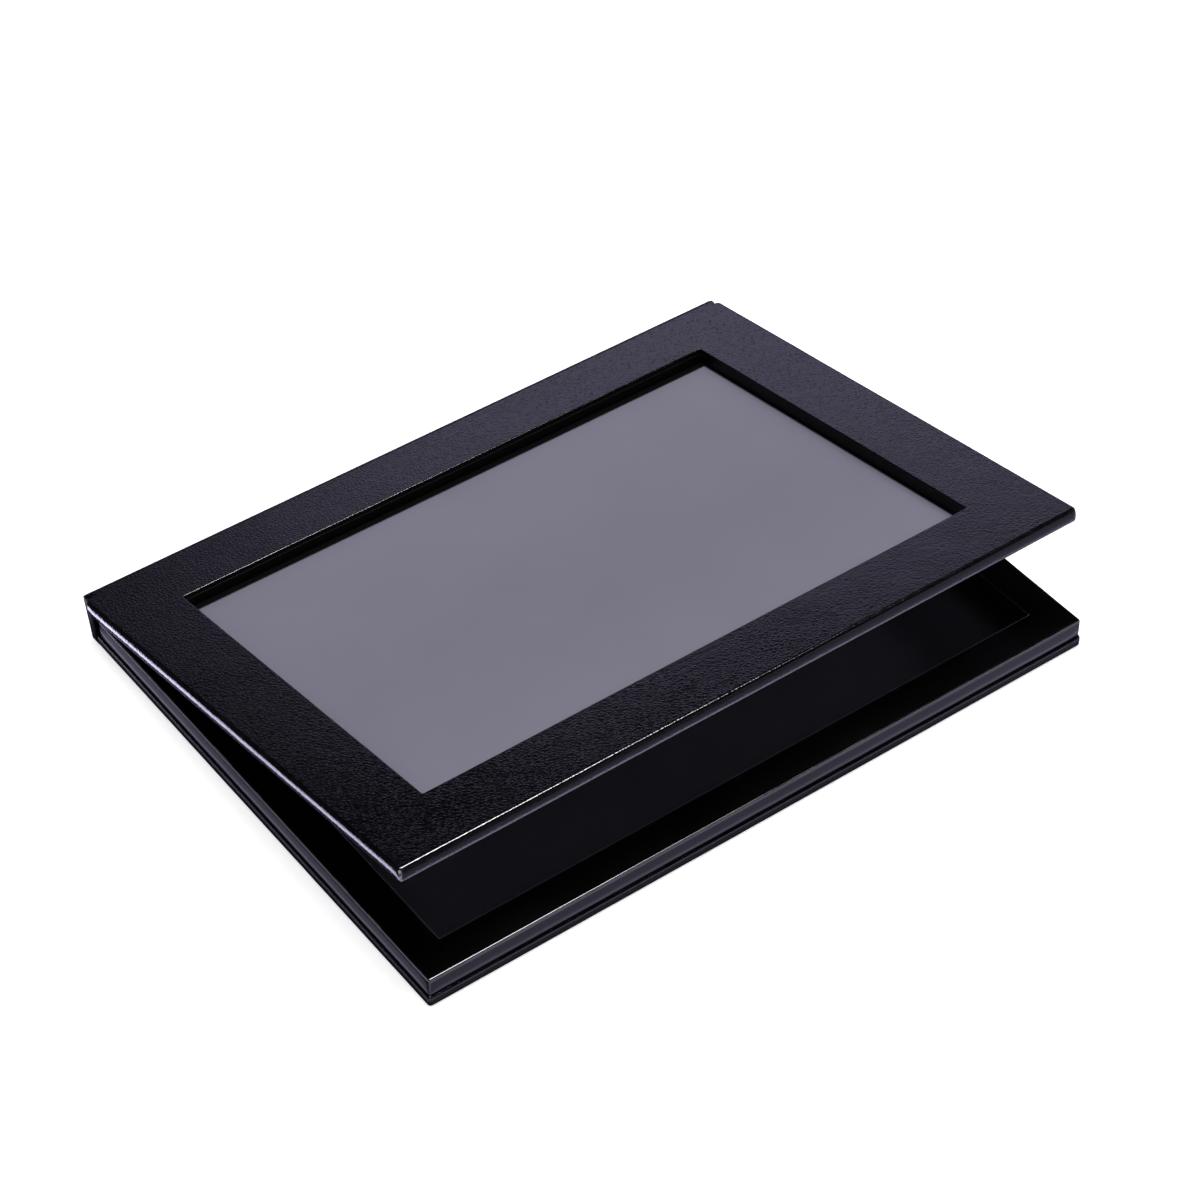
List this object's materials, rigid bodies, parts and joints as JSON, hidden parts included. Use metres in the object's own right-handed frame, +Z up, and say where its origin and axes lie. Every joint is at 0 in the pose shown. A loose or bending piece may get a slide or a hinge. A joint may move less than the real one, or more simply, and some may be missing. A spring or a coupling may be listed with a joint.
{
  "type": "magnetic makeup palette",
  "caption": "Flat book-style palette of paper-wrapped board: a hinged lid frames a clear window over a shallow tray whose magnetic floor holds loose pans.",
  "frame": {"origin": "centre of the base's underside", "axes": "+X along the long side, +Y from the opening front to the spine, +Z up"},
  "size_m": [0.164, 0.1246, 0.0326],
  "materials": {
    "leather_paper": "black leather-grain paper, satin",
    "smooth_paper": "black smooth paper, satin",
    "greyboard": "greyboard, matt",
    "magnetic_rubber": "flexible magnetic sheet, matt",
    "clear_film": "clear, gloss",
    "magnet_metal": "nickel-plated, satin"
  },
  "bodies": {
    "base": {"base_board": "greyboard", "base_wrap": "leather_paper", "base_lining": "smooth_paper", "lower_hinge_strip": "leather_paper", "lower_hinge_lining": "smooth_paper", "tray_wall_front": "greyboard", "tray_wall_rear": "greyboard", "tray_wall_left": "greyboard", "tray_wall_right": "greyboard", "tray_wrap": "smooth_paper", "magnetic_sheet": "magnetic_rubber", "floor_lining": "smooth_paper", "tray_magnet_left": "magnet_metal", "tray_magnet_right": "magnet_metal"},
    "spine": {"spine_board": "greyboard", "spine_wrap": "leather_paper", "spine_lining": "smooth_paper"},
    "lid": {"lid_board": "greyboard", "lid_wrap": "leather_paper", "upper_hinge_strip": "leather_paper", "upper_hinge_lining": "smooth_paper", "window_film": "clear_film", "lid_lining": "smooth_paper", "lid_magnet_left": "magnet_metal", "lid_magnet_right": "magnet_metal"}
  },
  "joints": [
    {"name": "spine_fold", "type": "hinge", "parent": "base", "child": "spine", "pos_m": [0, 0.0625, 0.0001], "axis": [-1, 0, 0], "range_deg": [-10.5, 79.5]},
    {"name": "lid_fold", "type": "hinge", "parent": "spine", "child": "lid", "pos_m": [0, 0.06447, 0.01072], "axis": [-1, 0, 0], "range_deg": [0, 90]}
  ]
}
